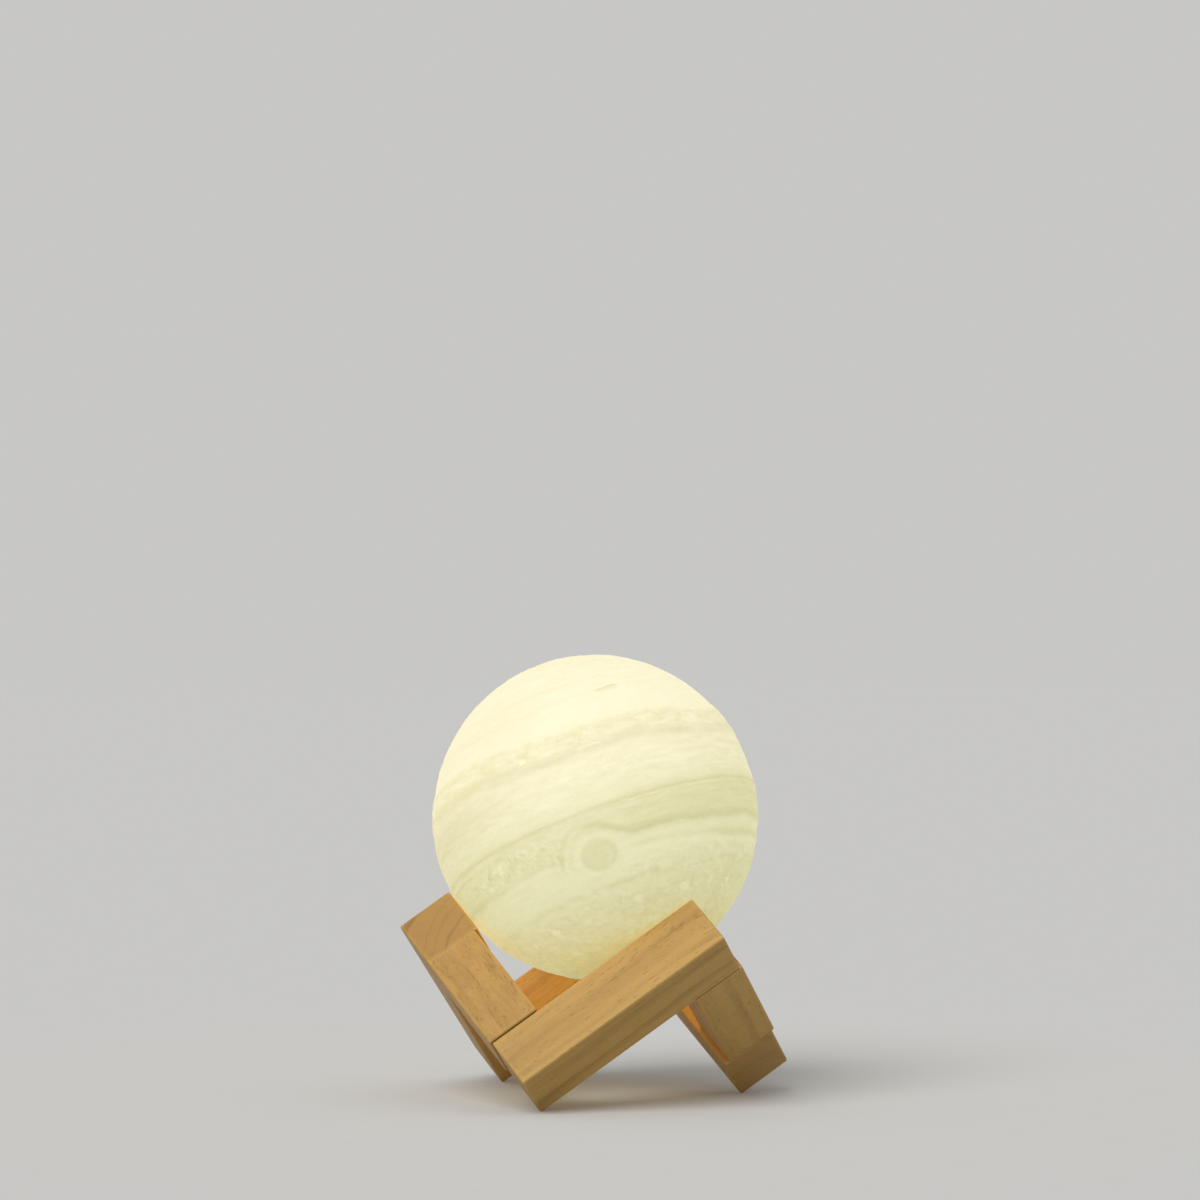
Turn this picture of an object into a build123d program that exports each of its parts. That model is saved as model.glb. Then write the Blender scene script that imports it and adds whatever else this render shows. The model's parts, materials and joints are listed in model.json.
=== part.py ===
from build123d import *
from math import cos, hypot, radians, sin, sqrt
import os

# Planet night light: a hollow globe with a rechargeable light core in its neck lies loose in a
# stand of three wooden L pieces, each a long bar with a short block glued under one end.
# Sizes are in millimetres and angles in degrees. The origin is on the table, midway between the
# stand's three feet, with +Z up and the front bar running along +X as it rises.

# Wooden stand, whose bars follow six edges of a cube that stands on one corner
bar_width = 18.5             # from a bar's outer side to the side that the globe leans on
bar_overhang = 5.2           # of each bar past the point where the globe touches it
bar_thickness = 18.0
block_side = 17.4
wood_edge_radius = 0.6
foot_flat = 0.6              # height of the point that is worn off each foot
right_block_step = 0.9       # how far the right block stands out past the ends of its bars
left_piece_slip = 0.8        # how far the left L piece has slid out of its loose peg joints

# Round wooden pegs, glued into every block
peg_diameter = 6.0
peg_depth = 8.0              # how deep a peg goes into each of its two pieces
peg_end_room = 0.6
glued_clearance = 0.05
loose_clearance = 0.2

# Globe, whose two dark belts stand proud of the pale zones between them
globe_diameter = 100.0
globe_wall = 2.2
zone_depth = 0.4
belt_slope = 1.4             # degrees of latitude over which a belt's edge falls to the zone
north_belt = (10.5, 20.5)
south_belt = (-22.0, -8.2)
rest_clearance = 0.3         # between the globe and each bar that it leans on
globe_lean = 25.1            # of the globe's axis from upright
globe_heading = 134.1        # which way the top leans, from +X towards +Y

# Neck of the globe and the cap that snaps into it
neck_wall = 2.8
neck_height = 6.0
neck_clearance = 0.2
rebate_width = 2.0
cap_thickness = 2.0
cap_edge_radius = 0.4
skirt_wall = 1.2
skirt_over_board = 1.0
snap_height = 3.0
snap_radius = 0.4

# Touch ring on the cap's outer face
ring_margin = 3.3            # from the cap's rim to the ring
ring_width = 4.2
ring_thickness = 1.2
ring_proud = 0.3
ring_clearance = 0.1
lead_diameter = 0.9
touch_lead_angle = 300.0

# Charging socket, for a round plug with a centre pin
socket_bore_diameter = 3.6
socket_wall = 1.6
socket_depth = 6.6
socket_back = 1.3
socket_inset = 0.5
socket_clearance = 0.1
socket_collar = 1.2
socket_pin_diameter = 1.3
pin_inset = 1.0
pin_tail = 0.6
pin_clearance = 0.1

# Charging light and the clear rod that carries it through the cap
pipe_diameter = 1.5
pipe_shoulder = 0.35
pipe_clearance = 0.1
pipe_angle = 90.0
indicator_size = (1.6, 0.8, 0.6)

# Control board
board_thickness = 1.0
board_clearance = 0.3
screw_edge = 2.9
screw_angles = (45.0, 225.0)
post_radius = 1.9
chip_leg = (0.4, 0.55, 0.3)
chip_leg_pitch = 1.27
touch_chip_size = (4.9, 3.9, 1.4)
touch_chip_place = (-4.7, 3.2)
touch_chip_legs = 4          # along each long side
charge_chip_size = (2.9, 1.6, 1.1)
charge_chip_place = (4.2, -2.0)
charge_chip_legs = 3
coil_size = (3.0, 3.0, 1.4)
coil_place = (0.3, -5.0)
capacitor_size = (2.0, 1.25, 0.9)
capacitor_places = ((4.6, 2.2), (1.4, 3.6), (8.6, -0.8))
resistor_size = (1.6, 0.8, 0.5)
resistor_places = ((-2.4, -1.6), (-4.6, -2.6), (-8.9, 0.4), (7.4, -4.6))

# Small screws for both boards
screw_diameter = 1.9
screw_length = 4.0
screw_head_diameter = 3.5
screw_head_height = 1.2
screw_head_round = 0.4
screw_slot_length = 1.9
screw_slot_width = 0.5
screw_clearance = 0.1
pilot_clearance = 0.05
pilot_room = 0.2             # below the screw's tip

# Lithium cell between two foam pads
cell_width = 22.5
cell_thickness = 7.0
cell_height = 17.5
cell_corner_radius = 1.6
cell_clearance = 0.5
foam_thickness = 1.0
foam_margin = 3.0

# Core housing over the cell
housing_wall = 1.2
housing_rib = 1.2
housing_plate = 1.4
lip_wall = 0.8
lip_clearance = 0.1
part_clearance = 0.4         # between the board's parts or the lip and the cell
lead_room = 2.4              # over the cell, for its leads
rim_wall = 0.8
rim_height = 1.5
boss_inset = 1.7
boss_radius = 1.9
boss_height = 2.0

# Light board
led_board_thickness = 1.0
led_count = 6
led_ring_radius = 6.2
led_size = (3.5, 2.8, 0.7)
lead_hole_radius = 1.9
lead_hole_inset = 3.8
led_lead_spread = 1.0
cell_lead_spread = 4.0
lead_bend = 0.9
solder_reach = 2.1

# What follows from the sizes above, in the globe's own frame with the core at its south pole
globe_radius = globe_diameter / 2
zone_radius = globe_radius - zone_depth
inner_radius = globe_radius - globe_wall
housing_inner = hypot(cell_width, cell_thickness) / 2 + cell_clearance
housing_outer = housing_inner + housing_wall
skirt_outer = housing_outer
skirt_inner = skirt_outer - skirt_wall
neck_bore = skirt_outer + neck_clearance
neck_outer = neck_bore + neck_wall
cap_radius = neck_bore + rebate_width - neck_clearance
ring_outer = cap_radius - ring_margin
ring_inner = ring_outer - ring_width
socket_radius = socket_bore_diameter / 2 + socket_wall
pipe_place = (ring_inner + socket_radius) / 2
board_radius = skirt_inner - board_clearance
screw_place = board_radius - screw_edge
pilot_radius = screw_diameter / 2 + pilot_clearance
boss_place = housing_inner - boss_inset
lead_hole_place = housing_inner - lead_hole_inset

cap_face = -sqrt(zone_radius**2 - (neck_bore + rebate_width) ** 2)
cap_top = cap_face + cap_thickness
neck_top = cap_top + neck_height
socket_face = cap_face + socket_inset
board_bottom = socket_face + socket_depth + socket_back
board_top = board_bottom + board_thickness
skirt_top = board_top + skirt_over_board
lip_low = board_top + lip_clearance
lip_high = skirt_top + lip_wall
tallest_part = max(touch_chip_size[2], charge_chip_size[2], coil_size[2], screw_head_height)
cell_bottom = max(board_top + tallest_part, lip_high) + part_clearance
cell_top = cell_bottom + cell_height
plate_bottom = cell_top + lead_room
plate_top = plate_bottom + housing_plate
led_board_top = plate_top + led_board_thickness

# Stand frame: x, y and z run along the cube's edges from its lowest corner, below the table
contact = bar_width + rest_clearance + globe_radius
bar_length = contact + bar_overhang
cube_depth = (bar_length - bar_thickness) / sqrt(3) + foot_flat
cube = Plane(
    origin=(0, 0, -cube_depth),
    x_dir=(sqrt(2 / 3), 0, 1 / sqrt(3)),
    z_dir=(-1 / sqrt(6), -1 / sqrt(2), 1 / sqrt(3)),
)
globe_centre = cube.from_local_coords(Vector(contact - left_piece_slip * sqrt(2 / 3), contact, contact))
globe_frame = Pos(*globe_centre) * Rot(0, 0, globe_heading) * Rot(0, globe_lean, 0)

LOW = (Align.CENTER, Align.CENTER, Align.MIN)
HIGH = (Align.CENTER, Align.CENTER, Align.MAX)
CORNER = (Align.MIN, Align.MIN, Align.MIN)


def rod(radius, low, high, x=0.0, y=0.0):
    """A round rod along Z from low to high."""
    return Pos(x, y, low) * Cylinder(radius, high - low, align=LOW)


def tube(outer, inner, low, high):
    """A round tube along Z from low to high."""
    return rod(outer, low, high) - rod(inner, low, high)


def brick(size, x, y, low):
    """A plain box of the given size, centred on x and y, standing on low."""
    return Pos(x, y, low) * Box(*size, align=LOW)


def around(radius, angle):
    """The x and y of a point at this radius and angle."""
    return radius * cos(radians(angle)), radius * sin(radians(angle))


def stand_place(turn):
    """Where the L piece of this number stands: 0 front, 1 right, 2 left."""
    slip = left_piece_slip if turn == 2 else 0.0
    return Pos(-slip, 0, 0) * Rot(0, 0, 120 * turn) * cube.location


def block_centre(step):
    """The x and y of a block's middle, seen along the block."""
    return bar_length - block_side / 2 + step, block_side / 2


def glued_peg(step, clearance=0.0, room=0.0):
    """The peg, or its hole, between a block and the bar above it."""
    x, y = block_centre(step)
    joint = bar_length - bar_thickness
    reach = peg_depth + room
    return rod(peg_diameter / 2 + clearance, joint - reach, joint + reach, x, y)


def loose_peg(step, clearance=0.0, room=0.0):
    """The peg, or its hole, between a block and the next L piece."""
    x, y = block_centre(step)
    reach = peg_depth + room
    return rod(peg_diameter / 2 + clearance, bar_width - reach, bar_width + reach, x, y)


def bar(step):
    """A long bar in its cube frame, with the hole for its block's glued peg."""
    blank = Pos(0, 0, bar_length - bar_thickness) * Box(bar_length, bar_width, bar_thickness, align=CORNER)
    seam = Vector(bar_length, bar_width / 2, bar_length - bar_thickness)
    rounded = [edge for edge in blank.edges() if (edge.center() - seam).length > wood_edge_radius]
    blank = fillet(rounded, wood_edge_radius)
    return blank - glued_peg(step, glued_clearance, peg_end_room)


def block(step):
    """A short block in its bar's cube frame, with the holes for both of its pegs."""
    length = bar_length - bar_thickness - bar_width
    x = bar_length - block_side + step
    blank = Pos(x, 0, bar_width) * Box(block_side, block_side, length, align=CORNER)
    glued_end = bar_length - bar_thickness
    rounded = [edge for edge in blank.edges() if edge.center().Z < glued_end - wood_edge_radius]
    blank = fillet(rounded, wood_edge_radius)
    blank -= glued_peg(step, glued_clearance, peg_end_room)
    return blank - loose_peg(step, glued_clearance, peg_end_room)


def stand_nodes():
    """The six pieces of wood and their hidden pegs."""
    names = ("front", "right", "left")
    blocks = ("right_block", "back_block", "left_block")
    steps = (right_block_step, 0.0, 0.0)
    below_table = Box(3 * bar_length, 3 * bar_length, bar_thickness, align=HIGH)
    nodes = {}
    for turn in range(3):
        giver = (turn - 1) % 3
        peg_hole = stand_place(giver) * loose_peg(steps[giver], loose_clearance, peg_end_room)
        nodes[names[turn] + "_bar"] = stand_place(turn) * bar(steps[turn]) - peg_hole - below_table
        nodes[blocks[turn]] = stand_place(turn) * block(steps[turn])
    nodes["glued_pegs"] = Compound([stand_place(turn) * glued_peg(steps[turn]) for turn in range(3)])
    nodes["joint_pegs"] = Compound([stand_place(turn) * loose_peg(steps[turn]) for turn in range(3)])
    return nodes


def globe_outline():
    """The globe's outer surface as a solid, with both belts proud of the zones."""
    stops = [(-90.0, zone_radius)]
    for south, north in (south_belt, north_belt):
        stops += [(south, zone_radius), (south + belt_slope, globe_radius)]
        stops += [(north - belt_slope, globe_radius), (north, zone_radius)]
    stops += [(90.0, zone_radius)]
    pieces = []
    for (low, low_radius), (high, high_radius) in zip(stops, stops[1:]):
        if low_radius == high_radius:
            pieces.append(CenterArc((0, 0), low_radius, low, high - low))
        else:
            start = around(low_radius, low)
            end = around(high_radius, high)
            pieces.append(Line(start, end))
    pieces.append(Line((0, zone_radius), (0, -zone_radius)))
    half = make_face(Plane.XZ * Curve(pieces))
    return revolve(half, Axis.Z)


def planet_shell():
    """The printed globe, with the neck that takes the core."""
    outline = globe_outline()
    neck = rod(neck_outer, -globe_radius, neck_top) & outline
    shell = outline - Sphere(inner_radius) + neck
    shell -= rod(neck_bore, -globe_radius, neck_top + globe_wall)
    shell -= rod(neck_bore + rebate_width, -globe_radius, cap_top)
    return shell - Pos(0, 0, cap_top + snap_height) * Torus(skirt_outer, snap_radius + neck_clearance)


def base_cap():
    """The round cap with its skirt, its two board posts and its seats for ring, socket and light."""
    flange = rod(cap_radius, cap_face, cap_top)
    flange = fillet(flange.edges().group_by(Axis.Z)[0], cap_edge_radius)
    cap = flange + tube(skirt_outer, skirt_inner, cap_top, skirt_top)
    cap += Pos(0, 0, cap_top + snap_height) * (
        Torus(skirt_outer, snap_radius) - rod(skirt_inner, -snap_radius, snap_radius)
    )
    for x, y in board_screw_places():
        cap += rod(post_radius, cap_top, board_bottom, x, y)
        cap -= rod(pilot_radius, board_top - screw_length - pilot_room, board_bottom, x, y)
    groove = ring_thickness - ring_proud
    cap -= tube(ring_outer + ring_clearance, ring_inner - ring_clearance, cap_face, cap_face + groove)
    cap -= rod(socket_radius + socket_clearance, cap_face, cap_top)
    cap -= rod(pipe_diameter / 2 + pipe_clearance, cap_face, cap_top, *pipe_spot())
    return cap - rod(lead_diameter / 2 + ring_clearance, cap_face, cap_top, *touch_lead_spot())


def board_screw_places():
    """The two screws of the control board."""
    return [around(screw_place, angle) for angle in screw_angles]


def pipe_spot():
    """The charging light, beside the socket."""
    return around(pipe_place, pipe_angle)


def touch_lead_spot():
    """The touch ring's lead, over the middle of the ring."""
    return around((ring_outer + ring_inner) / 2, touch_lead_angle)


def touch_ring():
    """The bright ring that a fingertip touches."""
    blank = tube(ring_outer, ring_inner, cap_face - ring_proud, cap_face - ring_proud + ring_thickness)
    return chamfer(blank.edges().group_by(Axis.Z)[0], ring_proud / 2)


def touch_lead():
    """The straight lead from the touch ring up to the control board."""
    low = cap_face - ring_proud + ring_thickness
    return rod(lead_diameter / 2, low, board_bottom, *touch_lead_spot())


def charging_socket():
    """The socket's body, open at the cap's face."""
    body = rod(socket_radius, socket_face, board_bottom)
    body += rod(socket_radius + socket_collar, board_bottom - socket_back, board_bottom)
    body -= rod(socket_bore_diameter / 2, socket_face, socket_face + socket_depth)
    return body - rod(socket_pin_diameter / 2, socket_face, board_bottom)


def socket_pin():
    """The socket's centre pin, soldered through the control board."""
    return rod(socket_pin_diameter / 2, socket_face + pin_inset, board_top + pin_tail)


def light_pipe():
    """The clear rod between the charging light and the cap's face."""
    x, y = pipe_spot()
    top = board_bottom - indicator_size[2] - pipe_clearance
    stem = rod(pipe_diameter / 2, cap_face, top, x, y)
    return stem + rod(pipe_diameter / 2 + pipe_shoulder, cap_top, top, x, y)


def indicator_led():
    """The charging light under the control board."""
    x, y = pipe_spot()
    return brick(indicator_size, x, y, board_bottom - indicator_size[2])


def control_board():
    """The round board that charges the cell and reads the touch ring."""
    board = rod(board_radius, board_bottom, board_top)
    board -= rod(socket_pin_diameter / 2 + pin_clearance, board_bottom, board_top)
    for x, y in board_screw_places():
        board -= rod(screw_diameter / 2 + screw_clearance, board_bottom, board_top, x, y)
    return board


def chip(size, place, legs):
    """A flat chip on the control board, with this many legs along each long side."""
    x, y = place
    body = brick(size, x, y, board_top)
    pitch = min(chip_leg_pitch, size[0] / legs)
    for number in range(legs):
        along = x + (number - (legs - 1) / 2) * pitch
        for side in (-1, 1):
            body += brick(chip_leg, along, y + side * (size[1] + chip_leg[1]) / 2, board_top)
    return body


def board_parts(size, places):
    """Small parts of one kind, soldered on top of the control board."""
    return Compound([brick(size, x, y, board_top) for x, y in places])


def screw(x, y, seat):
    """A small cross-head screw, its head resting on seat."""
    head = rod(screw_head_diameter / 2, seat, seat + screw_head_height, x, y)
    head = fillet(head.edges().group_by(Axis.Z)[-1], screw_head_round)
    slot = (screw_slot_length, screw_slot_width, screw_head_height)
    for turn in (0, 90):
        head -= Pos(x, y, seat + screw_head_height / 2) * Rot(0, 0, turn) * Box(*slot, align=LOW)
    return head + rod(screw_diameter / 2, seat - screw_length, seat, x, y)


def lithium_cell():
    """The flat cell, standing on its long edge."""
    blank = brick((cell_width, cell_thickness, cell_height), 0, 0, cell_bottom)
    return fillet(blank.edges().filter_by(Axis.Z), cell_corner_radius)


def foam_pads():
    """The two pads that grip the cell between the housing's ribs."""
    size = (cell_width - 2 * foam_margin, foam_thickness, cell_height - 2 * foam_margin)
    offset = (cell_thickness + foam_thickness) / 2
    return Compound([brick(size, 0, side * offset, cell_bottom + foam_margin) for side in (-1, 1)])


def core_housing():
    """The white tube over the cell, closed by the plate that carries the light board."""
    housing = tube(housing_outer, housing_inner, skirt_top, plate_bottom)
    housing += rod(housing_outer, plate_bottom, plate_top)
    housing += tube(housing_outer, housing_outer - rim_wall, plate_top, plate_top + rim_height)
    lip_outer = skirt_inner - lip_clearance
    housing += tube(lip_outer, lip_outer - lip_wall, lip_low, skirt_top)
    housing += tube(housing_inner + housing_wall / 2, lip_outer - lip_wall, skirt_top, lip_high)
    rib_place = cell_thickness / 2 + foam_thickness + housing_rib / 2
    bounds = rod(housing_inner + housing_wall / 2, skirt_top, plate_bottom)
    for side in (-1, 1):
        size = (2 * housing_outer, housing_rib, cell_height - foam_margin)
        housing += brick(size, 0, side * rib_place, cell_bottom + foam_margin / 2) & bounds
    for x in (-boss_place, boss_place):
        housing += rod(boss_radius, plate_bottom - boss_height, plate_bottom, x) & bounds
        housing -= rod(pilot_radius, led_board_top - screw_length - pilot_room, plate_top, x)
    return housing - rod(lead_hole_radius, plate_bottom, plate_top, 0, lead_hole_place)


def led_board():
    """The round metal-backed board on top of the core."""
    board = rod(housing_outer - rim_wall - lip_clearance, plate_top, led_board_top)
    for x in (-boss_place, boss_place):
        board -= rod(screw_diameter / 2 + screw_clearance, plate_top, led_board_top, x)
    return board - rod(lead_hole_radius, plate_top, led_board_top, 0, lead_hole_place)


def leds():
    """The ring of light-emitting chips."""
    ring = []
    for number in range(led_count):
        angle = 360 * number / led_count
        x, y = around(led_ring_radius, angle)
        size = (led_size[1], led_size[0], led_size[2])
        ring.append(Pos(x, y, led_board_top) * Rot(0, 0, angle) * Box(*size, align=LOW))
    return Compound(ring)


def lead(points):
    """An insulated lead along straight runs joined by round bends."""
    route = FilletPolyline(*points, radius=lead_bend)
    section = Plane(origin=route @ 0, z_dir=route % 0) * Circle(lead_diameter / 2)
    return sweep(section, route)


def led_lead(side):
    """A lead from the control board up through the housing and over onto the light board."""
    x = side * led_lead_spread
    top = led_board_top + lead_diameter / 2 + ring_clearance
    end = lead_hole_place - solder_reach
    return lead([(x, lead_hole_place, board_top), (x, lead_hole_place, top), (x, end, top)])


def cell_lead(side):
    """A lead from the cell's top over its rib and down to the control board."""
    x = side * cell_lead_spread
    over = cell_top + lead_room / 2
    down = -lead_hole_place
    return lead([(x, 0, cell_top), (x, 0, over), (x, down, over), (x, down, board_top)])


def globe_nodes():
    """The globe and everything in its neck, in the globe's own frame."""
    return {
        "planet_shell": planet_shell(),
        "base_cap": base_cap(),
        "touch_ring": touch_ring(),
        "touch_lead": touch_lead(),
        "charging_socket": charging_socket(),
        "socket_pin": socket_pin(),
        "light_pipe": light_pipe(),
        "indicator_led": indicator_led(),
        "control_board": control_board(),
        "touch_chip": chip(touch_chip_size, touch_chip_place, touch_chip_legs),
        "charge_chip": chip(charge_chip_size, charge_chip_place, charge_chip_legs),
        "boost_coil": brick(coil_size, *coil_place, board_top),
        "capacitors": board_parts(capacitor_size, capacitor_places),
        "resistors": board_parts(resistor_size, resistor_places),
        "control_board_screws": Compound([screw(x, y, board_top) for x, y in board_screw_places()]),
        "lithium_cell": lithium_cell(),
        "foam_pads": foam_pads(),
        "cell_lead_red": cell_lead(1),
        "cell_lead_black": cell_lead(-1),
        "core_housing": core_housing(),
        "led_board": led_board(),
        "led_board_screws": Compound([screw(x, 0, led_board_top) for x in (-boss_place, boss_place)]),
        "leds": leds(),
        "led_lead_red": led_lead(1),
        "led_lead_black": led_lead(-1),
    }


os.makedirs("parts", exist_ok=True)
for name, shape in stand_nodes().items():
    export_step(shape, "parts/" + name + ".step")
for name, shape in globe_nodes().items():
    export_step(globe_frame * shape, "parts/" + name + ".step")
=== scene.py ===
import json
from math import acos, atan2, cos, pi, radians, sin, sqrt

import bpy
import numpy as np
from mathutils import Matrix, Vector, noise


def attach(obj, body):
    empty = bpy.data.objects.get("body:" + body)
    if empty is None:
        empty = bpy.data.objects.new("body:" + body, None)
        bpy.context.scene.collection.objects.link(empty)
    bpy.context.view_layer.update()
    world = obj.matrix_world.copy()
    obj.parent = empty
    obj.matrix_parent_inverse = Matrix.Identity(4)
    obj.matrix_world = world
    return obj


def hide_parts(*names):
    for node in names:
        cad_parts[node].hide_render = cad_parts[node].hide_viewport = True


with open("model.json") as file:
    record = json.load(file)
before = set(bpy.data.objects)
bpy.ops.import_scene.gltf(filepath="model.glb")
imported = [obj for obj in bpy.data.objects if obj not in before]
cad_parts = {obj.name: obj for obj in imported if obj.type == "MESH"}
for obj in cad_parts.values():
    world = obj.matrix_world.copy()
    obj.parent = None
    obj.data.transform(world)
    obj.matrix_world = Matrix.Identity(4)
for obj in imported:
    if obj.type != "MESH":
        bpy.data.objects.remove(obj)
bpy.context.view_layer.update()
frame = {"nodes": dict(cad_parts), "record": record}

bl_info = {
    "name": "Planet night light",
    "version": (1, 0, 0),
    "blender": (4, 5, 0),
    "location": "3D View > Sidebar > Night Light",
    "description": "Dresses the night light: printed globe, wooden stand, light core and studio",
    "category": "Object",
}

MM = 0.001
IN_MM = 1000.0  # scale from the object coordinates, in metres, to mm
MOUNTS = {mount["name"]: mount for mount in frame["record"]["mounts"]}
GLOBE_PLACE = Vector(MOUNTS["globe_cradle"]["pos_m"])
GLOBE_AXIS = -Vector(MOUNTS["charging_socket"]["axis"])

# The stand's cube frame: each bar's own directions before it is turned to its place
ALONG = Vector((sqrt(2 / 3), 0, 1 / sqrt(3)))
UP_FACE = Vector((-1 / sqrt(6), -1 / sqrt(2), 1 / sqrt(3)))
INWARD = UP_FACE.cross(ALONG)


# Small tools


def deselect():
    """Leaves edit mode and selects nothing, before a new piece starts."""
    if bpy.context.object and bpy.context.object.mode != "OBJECT":
        bpy.ops.object.mode_set(mode="OBJECT")
    bpy.ops.object.select_all(action="DESELECT")


def smooth_step(value, low, high):
    """0 below low, 1 above high and a soft rise between them."""
    share = np.clip((value - low) / (high - low), 0.0, 1.0)
    return share * share * (3 - 2 * share)


def window(value, low, full, fading, gone):
    """0 up to low, 1 from full to fading and 0 again from gone on, with soft sides."""
    return smooth_step(value, low, full) * (1 - smooth_step(value, fading, gone))


def hump(value, centre, half):
    """A soft hump of height 1 around centre."""
    return np.exp(-(((value - centre) / half) ** 2))


def humps(value, rows):
    """Soft humps added up, each given by its height, centre and half width."""
    return sum(height * hump(value, centre, half) for height, centre, half in rows)


def path(value, stops):
    """A line through the stops, read off at each value."""
    return np.interp(value, *zip(*stops))


def blend(first, second, share):
    """A mix of two numbers or arrays."""
    return first + (second - first) * share


class Surface:
    """One node-based material, built around a Principled shader."""

    def __init__(self, name):
        self.material = bpy.data.materials.new(name)
        self.material.use_nodes = True
        self.tree = self.material.node_tree
        self.tree.nodes.clear()
        self.shader = self.add("ShaderNodeBsdfPrincipled")
        self.output = self.add("ShaderNodeOutputMaterial").inputs["Surface"]
        self.tree.links.new(self.shader.outputs["BSDF"], self.output)
        self.coordinates = self.add("ShaderNodeTexCoord").outputs["Object"]

    def add(self, kind, **settings):
        """A node of this kind with these settings."""
        node = self.tree.nodes.new(kind)
        for key, value in settings.items():
            setattr(node, key, value)
        return node

    def feed(self, node, values):
        """Sets or links the node's sockets by name or number."""
        for key, value in values.items():
            if isinstance(value, bpy.types.NodeSocket):
                self.tree.links.new(value, node.inputs[key])
            else:
                node.inputs[key].default_value = value
        return node

    def set(self, **values):
        """Constants and links on the shader, with underscores for spaces in its sockets' names."""
        self.feed(self.shader, {key.replace("_", " "): value for key, value in values.items()})

    def mapped(self, scale, rotation=(0, 0, 0), location=(0, 0, 0), kind="POINT", source=None):
        """The source, or else the piece's coordinates, moved, turned and scaled."""
        node = self.add("ShaderNodeMapping", vector_type=kind)
        scale = (scale,) * 3 if isinstance(scale, (int, float)) else scale
        values = {"Scale": scale, "Rotation": rotation, "Location": location}
        values["Vector"] = source or self.coordinates
        return self.feed(node, values).outputs["Vector"]

    def split(self, vector):
        """The vector's three numbers, by the letter of their axis."""
        return self.feed(self.add("ShaderNodeSeparateXYZ"), {"Vector": vector}).outputs

    def noise(self, vector, scale, detail=3.0, roughness=0.5, distortion=0.0):
        """Soft noise between 0 and 1."""
        node = self.add("ShaderNodeTexNoise")
        values = {"Vector": vector, "Scale": scale, "Detail": detail}
        values.update({"Roughness": roughness, "Distortion": distortion})
        return self.feed(node, values).outputs["Fac"]

    def cells(self, vector, scale):
        """Distance to the nearest of many scattered points."""
        node = self.add("ShaderNodeTexVoronoi", feature="F1")
        return self.feed(node, {"Vector": vector, "Scale": scale}).outputs["Distance"]

    def sum(self, operation, first, second=0.0, third=0.0, clamp=False):
        """One step of arithmetic."""
        node = self.add("ShaderNodeMath", operation=operation, use_clamp=clamp)
        return self.feed(node, {0: first, 1: second, 2: third}).outputs[0]

    def weighted(self, total, *parts):
        """The parts added to the total, each times its own weight."""
        for value, weight in parts:
            total = self.sum("MULTIPLY_ADD", value, weight, total)
        return total

    def vector(self, operation, first, second=(0, 0, 0)):
        """One step of arithmetic with vectors, which gives a Vector or a Value."""
        node = self.add("ShaderNodeVectorMath", operation=operation)
        return self.feed(node, {0: first, 1: second}).outputs

    def range(self, value, low, high, to_low=0.0, to_high=1.0):
        """The value, stretched from one range to another and held inside it."""
        node = self.add("ShaderNodeMapRange", interpolation_type="SMOOTHSTEP")
        values = {"Value": value, "From Min": low, "From Max": high}
        values.update({"To Min": to_low, "To Max": to_high})
        return self.feed(node, values).outputs["Result"]

    def mix(self, share, first, second, kind="MIX"):
        """A mix of two colours."""
        node = self.add("ShaderNodeMix", data_type="RGBA", blend_type=kind, clamp_result=True)
        return self.feed(node, {0: share, 6: first, 7: second}).outputs[2]

    def ramp(self, value, stops):
        """A colour for each value, blended between the stops."""
        node = self.add("ShaderNodeValToRGB")
        elements = node.color_ramp.elements
        while len(elements) < len(stops):
            elements.new(0.5)
        for element, (place, colour) in zip(elements, stops):
            element.position = place
            element.color = colour
        return self.feed(node, {"Fac": value}).outputs["Color"]

    def bump(self, height, distance):
        """Small relief, its height in metres for a value of 1."""
        node = self.add("ShaderNodeBump")
        return self.feed(node, {"Height": height, "Distance": distance}).outputs["Normal"]


def rgb(colour, share=1.0):
    """A colour with full alpha, made darker or lighter by share."""
    return (*(min(1.0, channel * share) for channel in colour), 1.0)


def dress(node, surface):
    """Gives a CAD node this material."""
    mesh = frame["nodes"][node].data
    mesh.materials.clear()
    mesh.materials.append(surface.material)


# Settings


class GlobeSettings(bpy.types.PropertyGroup):
    diameter: bpy.props.FloatProperty(
        name="Diameter", description="Over the raised belts", default=0.1008, unit="LENGTH"
    )
    wall: bpy.props.FloatProperty(
        name="Wall", description="Thickness of the printed shell", default=0.0022, unit="LENGTH"
    )
    relief: bpy.props.FloatProperty(
        name="Relief",
        description="Height from the palest zone to the darkest belt",
        default=0.0008,
        unit="LENGTH",
    )
    lean: bpy.props.FloatProperty(
        name="Lean",
        description="Of the globe's axis from upright",
        default=acos(GLOBE_AXIS.z),
        subtype="ANGLE",
    )
    heading: bpy.props.FloatProperty(
        name="Heading",
        description="Which way the top leans",
        default=atan2(GLOBE_AXIS.y, GLOBE_AXIS.x),
        subtype="ANGLE",
    )
    plastic: bpy.props.FloatVectorProperty(
        name="Plastic",
        description="Colour of the printed shell",
        default=(0.30, 0.29, 0.25),
        subtype="COLOR",
    )
    glow: bpy.props.FloatProperty(
        name="Glow", description="Strength of the light that comes through the shell", default=1.0
    )


class StandSettings(bpy.types.PropertyGroup):
    wood: bpy.props.FloatVectorProperty(
        name="Wood",
        description="Colour of the pale wood",
        default=(0.430, 0.262, 0.074),
        subtype="COLOR",
    )
    grain: bpy.props.FloatVectorProperty(
        name="Grain",
        description="Colour of the dark growth rings",
        default=(0.270, 0.145, 0.036),
        subtype="COLOR",
    )
    ring_width: bpy.props.FloatProperty(
        name="Ring width", description="Between two growth rings", default=0.0022, unit="LENGTH"
    )


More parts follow.
